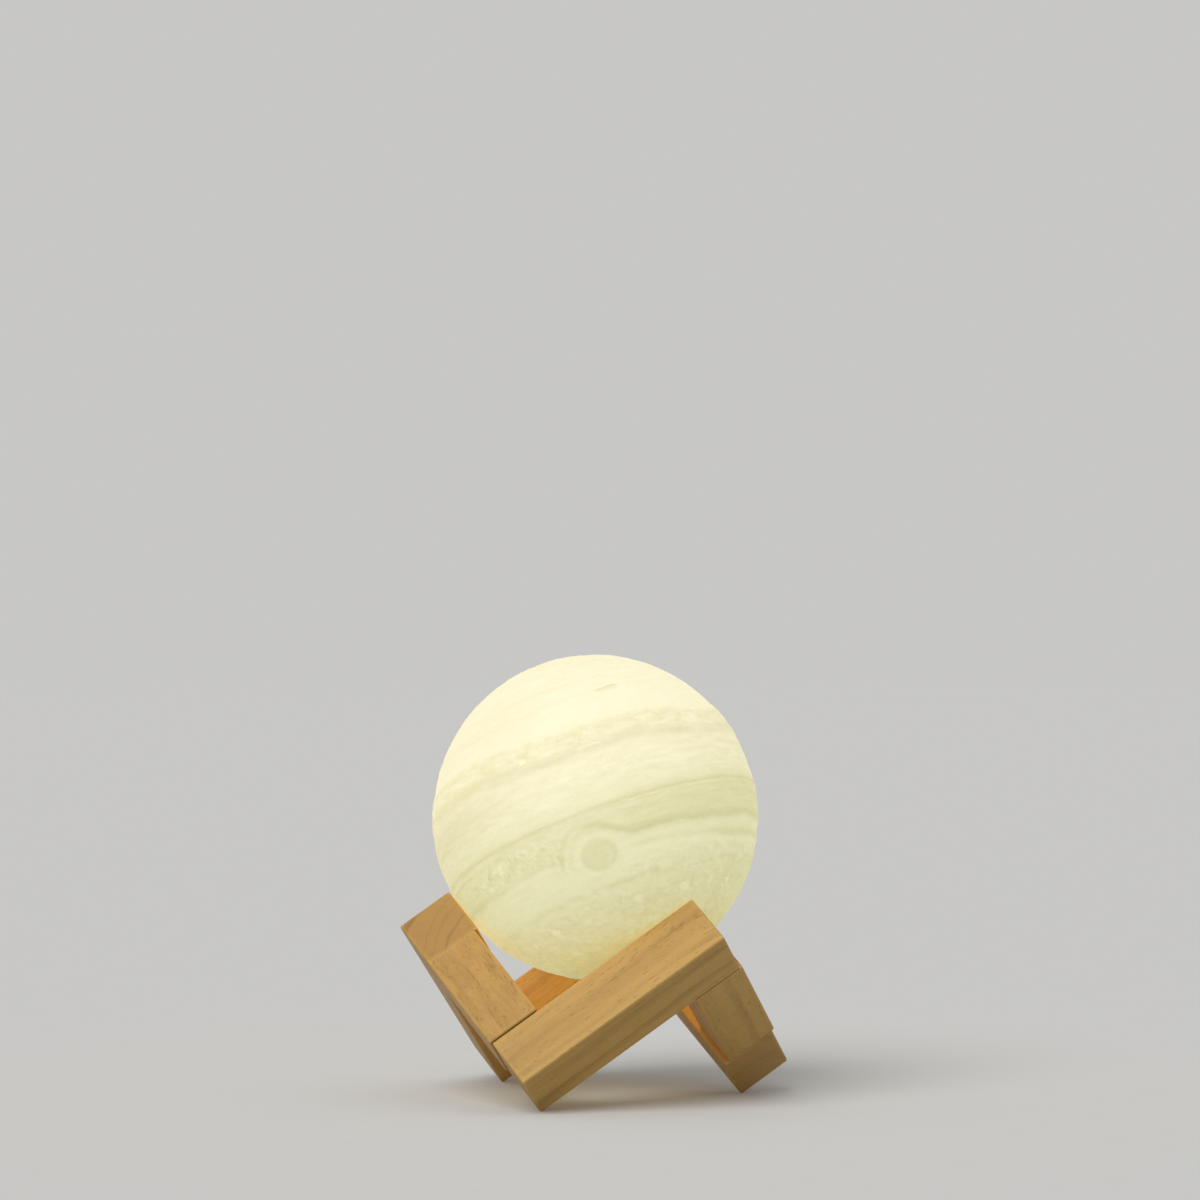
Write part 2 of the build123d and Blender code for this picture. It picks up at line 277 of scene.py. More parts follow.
class CoreSettings(bpy.types.PropertyGroup):
    plastic: bpy.props.FloatVectorProperty(
        name="Plastic",
        description="Colour of the cap and the housing",
        default=(0.80, 0.79, 0.76),
        subtype="COLOR",
    )
    ring: bpy.props.FloatVectorProperty(
        name="Touch ring",
        description="Colour of the bright ring",
        default=(0.78, 0.78, 0.80),
        subtype="COLOR",
    )
    board: bpy.props.FloatVectorProperty(
        name="Board",
        description="Colour of the control board",
        default=(0.02, 0.17, 0.06),
        subtype="COLOR",
    )


class StageSettings(bpy.types.PropertyGroup):
    floor: bpy.props.FloatVectorProperty(
        name="Floor",
        description="Colour of the floor and background",
        default=(0.66, 0.655, 0.64),
        subtype="COLOR",
    )
    sky: bpy.props.FloatProperty(
        name="Soft light", description="Strength of the light all round", default=0.45
    )
    key: bpy.props.FloatProperty(
        name="Key light", description="Strength of the soft sun", default=1.8
    )
    glow: bpy.props.FloatProperty(
        name="Glow",
        description="Power of the warm light on the wood",
        default=0.40,
        unit="POWER",
    )
    lens: bpy.props.FloatProperty(
        name="Lens",
        description="Focal length of the camera",
        default=129.84,
        subtype="DISTANCE_CAMERA",
    )


# Clouds. Latitudes and longitudes are in degrees about the globe's own axis. Longitudes count
# eastwards from the great spot's meridian.

SPOT_MERIDIAN = 122.0  # from the X axis
SPOT_EAST, SPOT_NORTH = -0.2, -24.4
SPOT_LENGTH, SPOT_HEIGHT = 7.2, 5.9  # half of each

# Wall thickness by latitude, from 0 thin and bright to 1 thick and dark. South of -58 it is partly
# the dark polar clouds and partly painted shade, which the base casts on the shell around the south
# pole
BELTS = (
    (-90, 0.78), (-63, 0.74), (-58, 0.54), (-52, 0.50), (-47, 0.46), (-43, 0.52), (-40, 0.44),
    (-38.2, 0.42), (-37.0, 0.58), (-36.0, 0.56), (-34.8, 0.36), (-33, 0.30), (-26, 0.28),
    (-23.2, 0.34), (-22.0, 0.84), (-20.6, 0.74), (-19.0, 0.54), (-15, 0.50), (-10.8, 0.54),
    (-9.7, 0.62), (-9.1, 0.95), (-8.5, 0.92), (-7.8, 0.52), (-6.4, 0.41), (-4, 0.33), (0, 0.30),
    (6, 0.33), (9.4, 0.36), (10.9, 0.62), (12.2, 0.88), (14.0, 0.80), (15.2, 0.60), (17.0, 0.54),
    (19.6, 0.72), (21.0, 0.56), (22.0, 0.20), (25, 0.12), (33, 0.14), (34.6, 0.30), (36.4, 0.18),
    (43, 0.26), (50, 0.32), (60, 0.40), (75, 0.44), (90, 0.46),
)

# How far north the northern belt lies of its place in that table, by longitude
BELT_DRIFT = (
    (-180, 0.0), (-120, 1.2), (-60, 2.8), (-37, 2.8), (-17, 0.6), (-7, -0.6), (3, 0.2),
    (20, -0.4), (31, -0.1), (42, -1.4), (58, -3.4), (80, -1.0), (130, 1.4), (180, 0.0),
)

# Fine lines in the southern belt, west and east of the spot: height, latitude, half width
WEST_LINES = ((0.30, -11.5, 0.45), (-0.22, -10.4, 0.4))
EAST_LINES = (
    (0.20, -10.9, 0.5), (-0.20, -9.9, 0.35), (0.20, -13.2, 0.6), (0.05, -17.0, 3.6),
    (0.14, -20.8, 1.0),
)

# Edges of the churned clouds west of the spot, and the dark line east of it, by longitude
WAKE_SOUTH = ((-70, -20.6), (-44, -19.8), (-28, -19.8), (-18, -22.2), (-10, -26.4), (0, -28.0))
WAKE_NORTH = ((-60, -14.6), (-40, -13.0), (-20, -11.4))
DARK_LINE = ((10, -25.2), (25, -25.4), (46, -26.9), (61, -28.2), (100, -28.0))

# Broad shades of the zones: amount, side (1 east, -1 west), where it starts, is full, fades and
# ends on that side, latitude, half width
SHADES = (
    (0.13, -1, (44, 62, 100, 140), -24, 18),
    (0.60, -1, (6, 60, 100, 140), 4, 10),
    (0.26, -1, (-12, 22, 100, 140), 33, 12),
    (0.12, 1, (50, 70, 100, 140), -40, 8),
)

# Small storms: latitude, longitude, half length, half height, thickness
STORMS = (
    (-44.8, -56, 2.2, 1.3, 0.12), (-44.6, -37.0, 2.7, 1.5, 0.08), (-44.6, 9.4, 2.6, 1.5, 0.08),
    (-45.4, 34.5, 2.9, 1.7, 0.06), (-45.1, 50.6, 2.1, 1.2, 0.08), (-45.2, 66, 2.1, 1.2, 0.08),
    (-46.2, 104, 3.2, 1.8, 0.08), (-45.8, 141, 2.6, 1.5, 0.10), (-46.0, -171, 3.4, 1.9, 0.08),
    (-46.4, -128, 2.4, 1.4, 0.10), (-41.2, -15.2, 1.6, 0.9, 0.20), (-36.2, 7.6, 4.2, 0.9, 0.76),
    (-36.9, 96, 5.0, 1.0, 0.90), (15.8, -15, 1.6, 0.7, 0.10), (14.9, -5.5, 4.0, 0.5, 0.24),
    (12.6, 9.5, 4.5, 0.45, 0.42), (18.0, 33, 4.0, 0.5, 0.20), (14.6, 38.5, 5.0, 0.6, 0.14),
    (15.6, 82, 4.2, 0.9, 0.14), (13.8, 128, 5.0, 0.7, 0.16), (17.4, -118, 4.4, 0.8, 0.14),
    (14.2, -72, 4.6, 0.7, 0.16), (41.0, -96, 3.4, 1.4, 0.55), (39.5, 150, 2.8, 1.2, 0.55),
    (10.4, 43, 4.5, 1.2, 0.80), (-33.6, -150, 4.2, 1.9, 0.12), (-24.6, 163, 3.6, 1.6, 0.16),
    (33.2, -29, 17.0, 0.5, 0.56), (42.3, -4, 24.0, 0.8, 0.48),
)

# One short dark dash high in the north, which climbs eastwards
DASH_EAST, DASH_NORTH, DASH_SLOPE = 26.2, 34.6, 0.08


def noise_field(points, scale, octaves=4, shift=0.0):
    """Soft noise at each point, between about -1 and 1. Scale stretches the three axes."""
    across, along, up = scale
    values = (
        noise.fractal((x * across + shift, y * along + shift, z * up - shift), 0.7, 2.1, octaves)
        for x, y, z in points
    )
    return np.fromiter(values, float, len(points))


class Clouds:
    """The clouds on a ball of radius 1 about the globe's own axis.

    Their tone is 0 where the printed wall is thin and bright, and 1 where it is thick and dark.
    """

    def __init__(self, points):
        self.latitude = np.degrees(np.arcsin(np.clip(points[:, 2], -1, 1)))
        turn = np.degrees(np.arctan2(points[:, 1], points[:, 0])) - SPOT_MERIDIAN
        self.longitude = (turn + 180) % 360 - 180
        self.mix_noises(points)
        self.bent = self.bend()

        # Distance from the great spot's centre, which is 1 on its edge, and where it is far away
        east, north = self.longitude - SPOT_EAST, self.latitude - SPOT_NORTH
        self.apart = np.hypot(east / SPOT_LENGTH, north / SPOT_HEIGHT)
        self.clear = smooth_step(self.apart, 1.0, 1.5)

        # Where the clouds are churned, ruffled and mottled, from 0 to 1
        self.south_edge = self.latitude - path(self.longitude, WAKE_SOUTH)
        north_edge = self.latitude - path(self.longitude, WAKE_NORTH)
        self.wake = window(self.longitude, -66, -54, -15, -8)
        self.wake *= smooth_step(self.south_edge, -0.9, 0.9)
        self.wake *= 1 - smooth_step(north_edge, -1.2, 1.2)
        self.rough = 0.55 + 0.45 * smooth_step(-self.longitude, 16, 36)
        self.ruffled = window(self.longitude, 0, 14, 100, 140)
        self.ruffled *= window(-self.latitude, 29.6, 32.4, 38, 41)
        self.mottled = window(-self.latitude, 38.5, 42, 60, 70)

    def mix_noises(self, points):
        """Noises of several grains, some of them on folded or slanted points."""
        self.drift = noise_field(points, (2.4, 2.4, 7.0))
        self.streaks = noise_field(points, (7.0, 7.0, 38.0), 5, 4.0)
        self.ragged = noise_field(points, (12.0, 12.0, 17.0), 4, 15.0)
        self.bands = noise_field(points, (4.5, 4.5, 44.0), 4, 39.0)
        folds = [noise_field(points, (9.0, 9.0, 9.0), 3, shift) for shift in (1.0, 5.0, 27.0)]
        folds = np.column_stack(folds)
        folded = points + 0.05 * folds
        self.curls = noise_field(folded, (24.0, 24.0, 18.0), 3, 9.0)
        self.threads = 1 - 2.6 * np.abs(noise_field(folded, (15.0, 15.0, 10.0), 3, 21.0))
        self.blots = noise_field(folded, (17.0, 17.0, 32.0), 4, 33.0)
        rising, falling = self.longitude + self.latitude, self.latitude - self.longitude
        slanted = np.radians(np.column_stack([rising, falling, 6 * self.drift])) + 0.06 * folds
        self.plumes = noise_field(slanted, (7.0, 25.0, 7.0), 4, 51.0)

    def bend(self):
        """The latitude in the table of belts, which wander and make room for the great spot."""
        latitude, longitude = self.latitude, self.longitude
        push = 7.6 * hump(longitude, 0, np.where(longitude < 0, 13, 9.5))
        push *= window(latitude, -29, -21, -13.5, -9.5)
        push += 2.0 * hump(longitude, 23, 13) * hump(latitude, -21, 4)
        push += window(latitude, 3, 9, 24, 32) * path(longitude, BELT_DRIFT)
        calm = 1 - 0.8 * hump(latitude, -8.6, 1.8)
        bent = latitude - push + calm * (0.55 * self.drift + 0.50 * self.streaks)
        return bent + 1.6 * self.ragged * window(bent, 14.5, 19, 23, 27)

    def pattern(self):
        """The printed wall's thickness and how churned its clouds are, both 0 to 1."""
        tone = self.add_wake(path(self.bent, BELTS) + self.belt_lines())
        tone = self.add_spot(tone + self.lines_ahead())
        tone = self.add_storms(tone + self.broad_shades() + self.fine_clouds())
        churned = self.rough * self.wake + 0.35 * window(self.bent, 13.5, 16, 20, 23)
        churned = np.maximum(np.clip(churned, 0, 1), 0.22 * np.maximum(self.mottled, self.ruffled))
        return np.clip(tone + self.dash(), 0.0, 1.0), churned * self.clear

    def belt_lines(self):
        """Fine lines that part from the two belts."""
        longitude, bent = self.longitude, self.bent
        east = window(longitude, 5, 16, 100, 150)
        lines = window(-longitude, 14, 34, 120, 150) * humps(bent, WEST_LINES)
        lines += east * (humps(bent, EAST_LINES) + 0.22 * self.bands * hump(bent, -15.5, 4.5))
        lines -= 0.16 * hump(longitude, -4, 9) * hump(bent, -9.0, 1.4)
        lines += 0.28 * hump(longitude, 17, 17) * hump(bent, -20.9, 1.3)
        lines -= 0.34 * window(-longitude, -1, 4, 40, 60) * hump(bent, -21.6, 1.6)
        return lines - 0.12 * window(longitude, -14, 12, 60, 90) * hump(bent, 13.0, 1.7)

    def add_wake(self, tone):
        """Churned clouds west of the spot, with a dark line below them and arcs beside the spot."""
        churned = self.rough * (0.62 * self.plumes + 0.18 * self.curls) - 0.10 * self.threads
        tone = blend(tone, 0.54 + churned, 0.92 * self.wake)
        tone += 0.16 * hump(self.longitude, -15, 5) * hump(self.south_edge, -0.5, 0.6)
        arcs = np.sin(13 * self.apart + 2.0 * self.drift) * hump(self.apart, 1.95, 0.55)
        arcs *= smooth_step(-self.longitude, 3, 7) * window(self.latitude, -29, -24, -13, -10)
        return tone + 0.20 * arcs

    def lines_ahead(self):
        """Dark and pale lines that run on eastwards from the spot, over ruffled clouds."""
        line = self.latitude - path(self.longitude, DARK_LINE) - 0.4 * self.drift
        broad = smooth_step(self.longitude, 38, 58)
        lines = (0.22 + 0.28 * broad) * hump(line, 0, 0.7 + 1.0 * broad)
        lines -= 0.14 * hump(line, -2.3, 0.9) + 0.08 * hump(self.latitude, -23.9, 0.8)
        ruffled = 0.05 + 0.36 * self.blots - 0.14 * hump(self.latitude, -36.5, 1.0)
        return window(self.longitude, 6, 14, 95, 130) * lines + self.ruffled * ruffled

    def add_spot(self, tone):
        """The great spot in its pale hollow, with a swirl and a dark rim."""
        tone = blend(tone, 0.26, 0.85 * (1 - smooth_step(self.apart, 1.20, 1.40)))
        tone += 0.14 * hump(self.apart, 1.42, 0.07) * smooth_step(-self.longitude, -6, 0)
        around = np.arctan2(self.latitude - SPOT_NORTH, self.longitude)
        swirl = 0.06 * np.sin(9 * self.apart + 2 * around)
        tone = blend(tone, 0.67 + swirl, 1 - smooth_step(self.apart, 0.84, 1.10))
        return tone + 0.09 * hump(self.apart, 0.90, 0.11)

    def broad_shades(self):
        """Zones that are darker or paler on one side of the spot."""
        latitude, longitude = self.latitude, self.longitude
        shades = sum(
            amount * window(side * longitude, *reach) * hump(latitude, centre, half)
            for amount, side, reach, centre, half in SHADES
        )
        shades -= 0.16 * window(longitude, 26, 44, 80, 110) * hump(self.bent, 15, 5)
        return shades - 0.10 * hump(longitude, 30, 22) * hump(latitude, 3, 6)

    def fine_clouds(self):
        """Mottled bands near the poles, rough belts, and streaks everywhere but in the spot."""
        blots, threads, streaks, bent = self.blots, self.threads, self.streaks, self.bent
        clouds = self.mottled * (0.30 * blots - 0.06 * threads) + 0.11 * streaks + 0.04 * self.curls
        clouds *= self.clear
        clouds += 0.26 * self.bands * hump(self.latitude, 1, 7)
        clouds += hump(bent, 17.0, 3.2) * (0.28 * blots - 0.08 * threads + 0.26 * streaks)
        clouds += 0.30 * self.ragged * hump(bent, -36.5, 1.6)
        return clouds + smooth_step(self.latitude, 44, 56) * (0.20 * blots + 0.16 * self.bands)

    def add_storms(self, tone):
        """Small oval storms, each with a faint dark rim."""
        for north, east, length, height, thickness in STORMS:
            apart = (self.longitude - east + 180) % 360 - 180
            size = np.hypot(apart / length, (self.latitude - north) / height)
            tone = tone + 0.14 * hump(size, 1.25, 0.22)
            tone = blend(tone, thickness, 1 - smooth_step(size, 0.75, 1.15))
        return tone

    def dash(self):
        """A short dark dash with a pale line north of it."""
        apart = self.longitude - DASH_EAST
        north = self.latitude - DASH_NORTH - DASH_SLOPE * apart
        dash = hump(north, 0, 0.65) - 0.3 * hump(north, 1.5, 0.5)
        return dash * (1 - smooth_step(np.abs(apart), 4.2, 5.6))


# Globe

SEGMENTS = 400
RINGS = 200
LINING_RINGS = 20
NECK_WALL = 2.8 * MM
SNAP_HEIGHT = 3.0 * MM
SNAP_GROOVE = 0.4 * MM
NECK_REGION = -30 * MM  # the CAD shell's neck lies below this height on the globe's own axis
TOLERANCE = 0.01 * MM
LINING_TONE = 0.4  # thickness that the material is given inside the globe

# Colour of the light by height, from 0 at the globe's south pole to 1 at its north pole
GLOW = (
    (0.0, (0.505, 0.455, 0.205, 1)),
    (0.07, (0.550, 0.516, 0.246, 1)),
    (0.14, (0.570, 0.552, 0.304, 1)),
    (0.25, (0.605, 0.595, 0.345, 1)),
    (0.36, (0.607, 0.583, 0.318, 1)),
    (0.47, (0.692, 0.652, 0.402, 1)),
    (0.60, (0.722, 0.669, 0.436, 1)),
    (1.0, (0.707, 0.663, 0.452, 1)),
)

# What a thick wall leaves of that light, low and high on the globe. The high one is paler and more
# golden: painted light, as the brighter glow near the top washes the belts out
THICK_LOW = (0.80, 0.785, 0.62, 1)
THICK_HIGH = (0.91, 0.885, 0.68, 1)


def globe_surface(settings):
    """Printed plastic that glows more where it is thin, with a colour that changes by height."""
    surface = Surface("printed_globe")
    own = surface.mapped(1.0, (0.0, settings.lean, settings.heading), GLOBE_PLACE, "TEXTURE")
    height = surface.sum("MULTIPLY_ADD", surface.split(own)["Z"], 10.0, 0.5)
    thickness = surface.add("ShaderNodeAttribute", attribute_name="thickness").outputs["Fac"]
    churned = surface.add("ShaderNodeAttribute", attribute_name="churned").outputs["Fac"]
    flow = surface.noise(surface.mapped((1.0, 1.0, 5.0), source=own), 170, 6, 0.62, 0.6)
    grain = surface.noise(own, 900, 3, 0.6)
    squiggles = surface.noise(surface.mapped((1.0, 1.0, 0.8), source=own), 400, 2, 0.55, 1.8)
    squiggles = surface.sum("MULTIPLY", surface.sum("SUBTRACT", squiggles, 0.5), churned)
    tone = surface.weighted(thickness, (flow, 0.50), (grain, 0.28), (squiggles, 1.1))
    tone = surface.sum("SUBTRACT", tone, 0.39, clamp=True)
    # Belts high on the globe are painted paler and more golden, where the glow is brightest
    shade = surface.mix(surface.range(height, 0.57, 0.69), THICK_LOW, THICK_HIGH)
    shade = surface.mix(tone, (1.0, 1.0, 1.0, 1), shade)
    relief = surface.weighted(grain, (flow, 0.6), (squiggles, 2.0))
    surface.set(
        Base_Color=surface.mix(tone, rgb(settings.plastic, 1.06), rgb(settings.plastic, 0.82)),
        Emission_Color=surface.mix(1.0, surface.ramp(height, GLOW), shade, "MULTIPLY"),
        Emission_Strength=settings.glow,
        Roughness=surface.range(grain, 0.3, 0.7, 0.5, 0.62),
        Specular_IOR_Level=0.25,
        Normal=surface.bump(relief, 0.12 * MM),
    )
    return surface


class NIGHTLIGHT_OT_globe(bpy.types.Operator):
    """Makes the printed planet globe, with its relief, its neck and its glow"""

    bl_idname = "nightlight.globe"
    bl_label = "Make the globe"

    def execute(self, context):
        settings = context.scene.nightlight_globe
        turn = Matrix.Rotation(settings.heading, 3, "Z") @ Matrix.Rotation(settings.lean, 3, "Y")
        cap, rebate, step, neck, rim = self.neck_sizes(turn)
        low = settings.diameter / 2 - settings.relief
        globe = self.open_ball(context, low, rebate)
        mesh = globe.data
        outer = len(mesh.vertices)

        # The rebate, the neck and the smooth inside, drawn as rings from the opening inwards
        inside = settings.diameter / 2 - settings.wall
        snap = step + SNAP_HEIGHT
        collar = neck + NECK_WALL
        start = -sqrt(inside**2 - collar**2)
        outline = [(rebate, cap), (rebate, step), (neck, step)]
        outline += [(neck, snap - SNAP_GROOVE), (neck + SNAP_GROOVE, snap)]
        outline += [(neck, snap + SNAP_GROOVE), (neck, rim), (collar, rim), (collar, start)]
        angles = np.linspace(atan2(start, collar), pi / 2, LINING_RINGS)[1:-1]
        outline += [(inside * np.cos(angle), inside * np.sin(angle)) for angle in angles]
        self.line(mesh, outline, inside)

        self.raise_clouds(mesh, outer, low, settings.relief)
        mesh.transform(Matrix.Translation(GLOBE_PLACE) @ turn.to_4x4())
        mesh.update()
        bpy.ops.object.shade_smooth_by_angle(angle=radians(40))
        mesh.materials.append(globe_surface(settings).material)
        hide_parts("planet_shell")
        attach(globe, "globe")
        return {"FINISHED"}

    def neck_sizes(self, turn):
        """The opening's rebate, neck and rim, measured on the CAD shell about the globe's axis."""
        vertices = frame["nodes"]["planet_shell"].data.vertices
        own = np.array([turn.inverted() @ (vertex.co - GLOBE_PLACE) for vertex in vertices])
        own = own[own[:, 2] < NECK_REGION]
        radius, height = np.hypot(own[:, 0], own[:, 1]), own[:, 2]
        cap = height.min()
        rebate = radius[height < cap + TOLERANCE].min()
        step = height[np.abs(radius - rebate) < TOLERANCE].max()
        neck = radius.min()
        rim = height[radius < neck + TOLERANCE].max()
        return [float(size) for size in (cap, rebate, step, neck, rim)]

    def open_ball(self, context, radius, opening):
        """A ball with a round hole of this radius at its south pole, the hole's edge selected."""
        deselect()
        bpy.ops.mesh.primitive_uv_sphere_add(segments=SEGMENTS, ring_count=RINGS, radius=radius)
        globe = context.object
        globe.name = globe.data.name = "planet_globe"
        bpy.ops.object.mode_set(mode="EDIT")
        bpy.ops.mesh.select_all(action="DESELECT")
        bpy.ops.mesh.select_mode(type="FACE")
        bpy.ops.object.mode_set(mode="OBJECT")
        for face in globe.data.polygons:
            face.select = face.center.z < 0 and face.center.xy.length < opening
        bpy.ops.object.mode_set(mode="EDIT")
        bpy.ops.mesh.delete(type="FACE")
        bpy.ops.mesh.select_mode(type="EDGE")
        bpy.ops.mesh.select_non_manifold()
        bpy.ops.object.mode_set(mode="OBJECT")
        return globe

    def line(self, mesh, outline, top):
        """Draws the selected edge on through the outline's radii and heights and closes the top."""
        place = next(vertex.co for vertex in mesh.vertices if vertex.select)
        radius, height = place.xy.length, place.z
        bpy.ops.object.mode_set(mode="EDIT")
        for new_radius, new_height in outline:
            rise = (0, 0, new_height - height)
            bpy.ops.mesh.extrude_edges_move(TRANSFORM_OT_translate={"value": rise})
            share = new_radius / radius
            bpy.ops.transform.resize(value=(share, share, 1), center_override=(0, 0, 0))
            radius, height = new_radius, new_height
        bpy.ops.mesh.extrude_edges_move(TRANSFORM_OT_translate={"value": (0, 0, top - height)})
        bpy.ops.mesh.merge(type="CENTER")
        bpy.ops.object.mode_set(mode="OBJECT")

    def raise_clouds(self, mesh, outer, low, relief):
        """Lifts the outer skin, whose vertices come first, by its clouds' thickness."""
        points = np.empty(len(mesh.vertices) * 3)
        mesh.vertices.foreach_get("co", points)
        points = points.reshape(-1, 3)
        thickness = np.full(len(points), LINING_TONE)
        churned = np.zeros(len(points))
        skin = points[:outer] / np.linalg.norm(points[:outer], axis=1)[:, None]
        thickness[:outer], churned[:outer] = Clouds(skin).pattern()
        points[:outer] = skin * (low + relief * thickness[:outer, None])
        mesh.vertices.foreach_set("co", points.ravel())
        for name, values in (("thickness", thickness), ("churned", churned)):
            mesh.attributes.new(name, "FLOAT", "POINT").data.foreach_set("value", values)


# Stand

DARK_RING = 106.0  # mm from the pith to one of the broad dark rings
DARK_RING_STEP = 8.0  # mm from that ring to the next

# Bar, its block, angle from the front bar's place, pith in mm, tint, and how streaky and mottled
# the bar is, and then its block
CUTS = (
    ("front_bar", "right_block", 0, (12, -30, 40), (1.0, 1.0, 1.0), (1.0, 0.1), (0.8, 0.3)),
    ("right_bar", "back_block", 120, (-40, 22, -44), (0.96, 0.95, 0.94), (0.9, 0.3), (0.9, 0.2)),
    ("left_bar", "left_block", 240, (65, -8, -14), (0.95, 0.91, 0.86), (0.8, 0.5), (0.35, 1.0)),
)
PEG_PITH = (5, 8, 60)
PEG_TINT = (1.12, 1.12, 1.12)


class Wood(Surface):
    """Oiled wood in its own mm, with X along its fibres and its rings about the pith."""

    def __init__(self, name, settings, along, side, pith, tint):
        super().__init__(name)
        self.wood = [channel * share for channel, share in zip(settings.wood, tint)]
        self.grain = [channel * share for channel, share in zip(settings.grain, tint)]
        self.ring_scale = MM / settings.ring_width
        self.along, side = Vector(along).normalized(), Vector(side).normalized()
        self.turn = Matrix((self.along, side, self.along.cross(side))).to_euler()
        self.pith = Vector(pith)
        self.own = self.mapped(IN_MM, self.turn, self.pith)
        parts = self.split(self.own)
        across = self.sum("MULTIPLY", parts["Y"], parts["Y"])
        across = self.sum("MULTIPLY_ADD", parts["Z"], parts["Z"], across)
        warp = self.drawn_out(0.015, 0.07, 3)
        self.radius = self.weighted(self.sum("SQRT", across), (warp, 6.0))
        self.fibre = self.drawn_out(0.04, 1.1, 4, 0.55)
        self.fine = self.drawn_out(0.16, 4.5, 2)
        self.patch = self.drawn_out(0.06, 0.14, 3)
        streak = self.drawn_out(0.012, 0.26, 3, 0.55, 0.15)
        self.streak = self.range(streak, 0.47, 0.66)
        fleck = self.weighted(self.drawn_out(0.50, 2.1, 1, 0.4), (self.streak, 0.045))
        self.fleck = self.range(fleck, 0.63, 0.77)

    def drawn_out(self, along, across, detail, roughness=0.5, distortion=0.0):
        """Noise with this many changes per mm along the fibres and across them."""
        stretched = self.mapped((along, across, across), source=self.own)
        return self.noise(stretched, 1.0, detail, roughness, distortion)

    def rings(self, scale, roughness):
        """Noise that changes only with the distance from the pith."""
        node = self.add("ShaderNodeTexNoise", noise_dimensions="1D")
        values = {"W": self.radius, "Scale": scale * self.ring_scale}
        values.update({"Detail": 2.0, "Roughness": roughness})
        return self.feed(node, values).outputs["Fac"]

    def side_colour(self, streaky, mottled):
        """Rings, fibres, streaks, flames and flecks along the piece."""
        ring = self.range(self.rings(1.0, 0.5), 0.46, 0.72)
        season = self.sum("SUBTRACT", self.radius, DARK_RING)
        season = self.sum("COSINE", self.sum("MULTIPLY", season, 2 * pi / DARK_RING_STEP))
        season = self.range(season, 0.25, 1.0)
        flame = self.range(self.drawn_out(0.11, 0.30, 4, 0.6, 0.8), 0.36, 0.64)
        tone = self.weighted(
            0.0,
            (self.fibre, 0.44),
            (ring, 0.26 * streaky),
            (self.fine, 0.26),
            (self.patch, 0.40),
            (self.streak, 0.22 * streaky),
            (season, 0.26 * streaky),
            (flame, 0.34 * mottled),
        )
        middle = 0.46 + 0.05 * streaky + 0.12 * mottled
        tone = self.sum("SUBTRACT", tone, middle, clamp=True)
        stops = ((0.0, rgb(self.wood, 1.14)), (0.40, rgb(self.wood, 0.95)), (1.0, rgb(self.grain)))
        flecks = self.sum("MULTIPLY", self.fleck, 0.42)
        return self.mix(flecks, self.ramp(tone, stops), rgb(self.grain, 0.80))

    def end_colour(self):
        """Pores and arcs of rings across the piece."""
        pores = self.cells(self.mapped((0.2, 1.0, 1.0), source=self.own), 2.6)
        pores = self.range(pores, 0.12, 0.30, 1.0, 0.0)
        arcs = self.range(self.rings(0.60, 0.6), 0.50, 0.72)
        tone = self.weighted(0.0, (arcs, 0.48), (pores, 0.18), (self.patch, 0.30))
        return self.mix(tone, rgb(self.wood), rgb(self.grain, 0.80))

    def end_share(self):
        """1 on the piece's two ends and 0 on its long sides."""
        facing = self.add("ShaderNodeTexCoord").outputs["Normal"]
        facing = self.vector("DOT_PRODUCT", facing, self.along)["Value"]
        return self.sum("POWER", self.sum("ABSOLUTE", facing), 6.0)

    def edge_wear_and_highlight(self, node):
        """1 along the edges of the box that this CAD node fills, and 0 elsewhere: where pale wear
        and a painted highlight go.
        """
        turn = self.turn.to_matrix()
        vertices = frame["nodes"][node].data.vertices
        corners = [turn @ vertex.co * IN_MM + self.pith for vertex in vertices]
        low, high = [Vector(edge(values) for values in zip(*corners)) for edge in (min, max)]
        centred = self.vector("SUBTRACT", self.own, (low + high) / 2)["Vector"]
        sides = self.vector("ABSOLUTE", centred)["Vector"]
        inset = self.split(self.vector("SUBTRACT", sides, (high - low) / 2)["Vector"])
        wear_and_highlight = -1.0
        for axis in "XYZ":
            near = self.weighted(inset[axis], (self.patch, 1.6))
            wear_and_highlight = self.sum("ADD", self.range(near, -0.9, 1.1), wear_and_highlight)
        return self.sum("MAXIMUM", wear_and_highlight, 0.0)

    def finish(self, streaky=1.0, mottled=0.0, node=None):
        """Feeds the shader. A node that is named has its edges painted pale, partly as wear and
        partly as a painted highlight of the light along them.
        """
        colour = self.mix(self.end_share(), self.side_colour(streaky, mottled), self.end_colour())
        if node:
            # Pale edges: partly wear, partly a painted highlight where light catches the rounded
            # edges
            wear_and_highlight = self.sum("MULTIPLY", self.edge_wear_and_highlight(node), 0.5)
            colour = self.mix(wear_and_highlight, colour, rgb(self.wood, 1.30))
        relief = self.weighted(self.fibre, (self.fine, 0.5), (self.fleck, -0.8))
        self.set(
            Base_Color=colour,
            Roughness=self.range(relief, 0.3, 1.1, 0.62, 0.42),
            Specular_IOR_Level=0.28,
            Normal=self.bump(relief, 0.06 * MM),
        )
        return self


